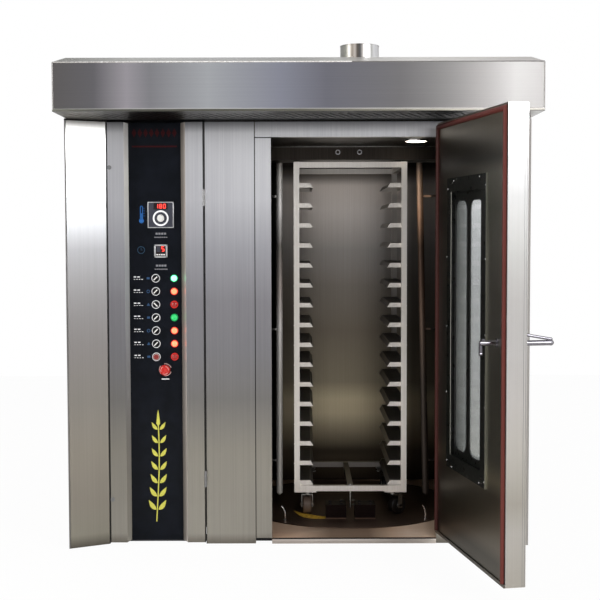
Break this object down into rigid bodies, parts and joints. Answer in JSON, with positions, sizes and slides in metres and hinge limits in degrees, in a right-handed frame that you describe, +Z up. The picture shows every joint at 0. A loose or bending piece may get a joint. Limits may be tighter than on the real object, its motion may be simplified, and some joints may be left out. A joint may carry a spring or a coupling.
{
  "type": "rotating rack oven",
  "caption": "Rack oven with a turntable, a castered tray rack, a hinged windowed door, a control column and a steam hood.",
  "frame": {"origin": "on the floor at the middle of the body's width, level with the turntable's axis in depth", "axes": "+Z up, the oven's front and its door face -Y, +X to the right seen from the front"},
  "size_m": [2.14, 2.5441, 2.288],
  "materials": {
    "brushed_steel": "brushed stainless sheet",
    "panel_grey": "dark grey painted steel",
    "chamber_steel": "heat-tinted stainless sheet",
    "rack_steel": "satin stainless tube and sheet",
    "zinc": "bright zinc-plated steel",
    "chrome": "polished chrome",
    "cast_iron": "bare cast iron",
    "motor_paint": "blue-grey enamel",
    "wool": "mineral wool",
    "element": "oxidised heating element",
    "lamp_lens": "frosted lamp glass",
    "seal": "red-brown silicone seal",
    "window_trim": "black enamelled steel",
    "window_pane": "clear tempered glass",
    "liner": "polished stainless sheet",
    "black_panel": "glossy black panel",
    "instrument": "black instrument housing",
    "white_plastic": "white plastic",
    "black_plastic": "black plastic",
    "red_plastic": "red plastic",
    "lens": "coloured signal lens",
    "wheel": "heat-resistant wheel resin"
  },
  "bodies": {
    "cabinet": {"base_frame": "panel_grey", "chamber_floor": "chamber_steel", "left_side_panel": "brushed_steel", "right_side_panel": "brushed_steel", "rear_panel": "brushed_steel", "roof_panel": "brushed_steel", "front_column_panel": "brushed_steel", "hinge_column_panel": "brushed_steel", "door_frame": "brushed_steel", "chamber_front_wall": "chamber_steel", "chamber_left_wall": "chamber_steel", "chamber_right_wall": "chamber_steel", "chamber_rear_wall": "chamber_steel", "chamber_ceiling": "chamber_steel", "insulation": "wool", "ceiling_baffle": "chamber_steel", "guide_bars": "brushed_steel", "chamber_lamp": "lamp_lens", "drive_gearmotor": "motor_paint", "hood_shell": "brushed_steel", "hood_grille": "brushed_steel", "flue_spigot": "brushed_steel", "fan_motor": "motor_paint", "heating_elements": "element", "steam_generator": "cast_iron", "electrical_plate": "panel_grey", "hinge_brackets": "brushed_steel"},
    "turntable": {"turntable_disc": "chamber_steel", "rack_frame": "rack_steel", "tray_runners": "rack_steel"},
    "rack_lock_pin": {"rack_lock_pin": "zinc"},
    "fork_left": {"caster_fork_left": "zinc"},
    "fork_right": {"caster_fork_right": "zinc"},
    "wheel_front_left": {"caster_wheel_front_left": "wheel"},
    "wheel_front_right": {"caster_wheel_front_right": "wheel"},
    "wheel_rear_left": {"caster_wheel_rear_left": "wheel"},
    "wheel_rear_right": {"caster_wheel_rear_right": "wheel"},
    "drive_roller": {"drive_roller": "cast_iron"},
    "circulation_fan": {"circulation_fan": "chamber_steel"},
    "oven_door": {"door_shell": "brushed_steel", "door_liner": "liner", "door_gasket": "seal", "window_frame": "window_trim", "window_glass": "window_pane"},
    "door_handle": {"door_handle": "chrome"},
    "control_door": {"control_door": "brushed_steel", "control_panel": "black_panel", "panel_instruments": "instrument", "indicator_lamps": "lens"},
    "temperature_knob": {"temperature_knob": "white_plastic"},
    "start_button": {"start_button": "red_plastic"},
    "stop_button": {"stop_button": "red_plastic"},
    "upper_latch": {"upper_latch": "chrome"},
    "lower_latch": {"lower_latch": "chrome"},
    "selector_1": {"selector_1": "black_plastic"},
    "selector_2": {"selector_2": "black_plastic"},
    "selector_3": {"selector_3": "black_plastic"},
    "selector_4": {"selector_4": "black_plastic"},
    "selector_5": {"selector_5": "black_plastic"},
    "selector_6": {"selector_6": "black_plastic"}
  },
  "joints": [
    {"name": "turntable_spin", "type": "hinge", "parent": "cabinet", "child": "turntable", "pos_m": [0.257, 0, 0.014], "axis": [0, 0, 1], "continuous": true},
    {"name": "roller_spin", "type": "hinge", "parent": "cabinet", "child": "drive_roller", "pos_m": [-0.3563, 0, 0.04], "axis": [0, 0, 1], "continuous": true},
    {"name": "fan_spin", "type": "hinge", "parent": "cabinet", "child": "circulation_fan", "pos_m": [-0.543, 0.3, 1.7], "axis": [0, 0, 1], "continuous": true},
    {"name": "lock_pin_lift", "type": "slide", "parent": "turntable", "child": "rack_lock_pin", "axis": [0, 0, 1], "range_m": [0, 0.045]},
    {"name": "fork_left_swivel", "type": "hinge", "parent": "turntable", "child": "fork_left", "pos_m": [0.0385, -0.2645, 0.14], "axis": [0, 0, 1], "continuous": true},
    {"name": "wheel_front_left_roll", "type": "hinge", "parent": "fork_left", "child": "wheel_front_left", "pos_m": [0.0385, -0.2365, 0.0733], "axis": [1, 0, 0], "continuous": true},
    {"name": "wheel_rear_left_roll", "type": "hinge", "parent": "turntable", "child": "wheel_rear_left", "pos_m": [0.0385, 0.2645, 0.0733], "axis": [1, 0, 0], "continuous": true},
    {"name": "fork_right_swivel", "type": "hinge", "parent": "turntable", "child": "fork_right", "pos_m": [0.4755, -0.2645, 0.14], "axis": [0, 0, 1], "continuous": true},
    {"name": "wheel_front_right_roll", "type": "hinge", "parent": "fork_right", "child": "wheel_front_right", "pos_m": [0.49844, -0.24844, 0.0733], "axis": [0.5736, -0.8192, 0], "continuous": true},
    {"name": "wheel_rear_right_roll", "type": "hinge", "parent": "turntable", "child": "wheel_rear_right", "pos_m": [0.4755, 0.2645, 0.0733], "axis": [1, 0, 0], "continuous": true},
    {"name": "oven_door_swing", "type": "hinge", "parent": "cabinet", "child": "oven_door", "pos_m": [0.718, -0.8545, 1.023], "axis": [0, 0, 1], "range_deg": [-100.6, 60]},
    {"name": "handle_turn", "type": "hinge", "parent": "oven_door", "child": "door_handle", "pos_m": [0.85809, -1.65743, 1.034], "axis": [-0.9829, -0.184, 0], "range_deg": [0, 90]},
    {"name": "control_door_swing", "type": "hinge", "parent": "cabinet", "child": "control_door", "pos_m": [-0.441, -0.753, 1], "axis": [0, 0, 1], "range_deg": [0, 110]},
    {"name": "temperature_turn", "type": "hinge", "parent": "control_door", "child": "temperature_knob", "pos_m": [-0.6483, -0.696, 1.536], "axis": [0, -1, 0], "range_deg": [-135, 135]},
    {"name": "selector_1_turn", "type": "hinge", "parent": "control_door", "child": "selector_1", "pos_m": [-0.6745, -0.696, 1.254], "axis": [0, -1, 0], "range_deg": [0, 90]},
    {"name": "selector_2_turn", "type": "hinge", "parent": "control_door", "child": "selector_2", "pos_m": [-0.6745, -0.696, 1.1922], "axis": [0, -1, 0], "range_deg": [0, 90]},
    {"name": "selector_3_turn", "type": "hinge", "parent": "control_door", "child": "selector_3", "pos_m": [-0.6745, -0.696, 1.1304], "axis": [0, -1, 0], "range_deg": [-90, 0]},
    {"name": "selector_4_turn", "type": "hinge", "parent": "control_door", "child": "selector_4", "pos_m": [-0.6745, -0.696, 1.0686], "axis": [0, -1, 0], "range_deg": [0, 90]},
    {"name": "selector_5_turn", "type": "hinge", "parent": "control_door", "child": "selector_5", "pos_m": [-0.6745, -0.696, 1.0068], "axis": [0, -1, 0], "range_deg": [0, 90]},
    {"name": "selector_6_turn", "type": "hinge", "parent": "control_door", "child": "selector_6", "pos_m": [-0.6745, -0.696, 0.945], "axis": [0, -1, 0], "range_deg": [0, 90]},
    {"name": "start_press", "type": "slide", "parent": "control_door", "child": "start_button", "axis": [0, 1, 0], "range_m": [0, 0.004], "stiffness_N_per_m": 400},
    {"name": "stop_press", "type": "slide", "parent": "control_door", "child": "stop_button", "axis": [0, 1, 0], "range_m": [0, 0.006]},
    {"name": "upper_latch_turn", "type": "hinge", "parent": "control_door", "child": "upper_latch", "pos_m": [-0.88, -0.747, 1.771], "axis": [0, 1, 0], "range_deg": [0, 90]},
    {"name": "lower_latch_turn", "type": "hinge", "parent": "control_door", "child": "lower_latch", "pos_m": [-0.88, -0.747, 0.214], "axis": [0, 1, 0], "range_deg": [0, 90]}
  ],
  "couplings": [
    {"joint": "roller_spin", "follows": "turntable_spin", "ratio": -14.325}
  ]
}
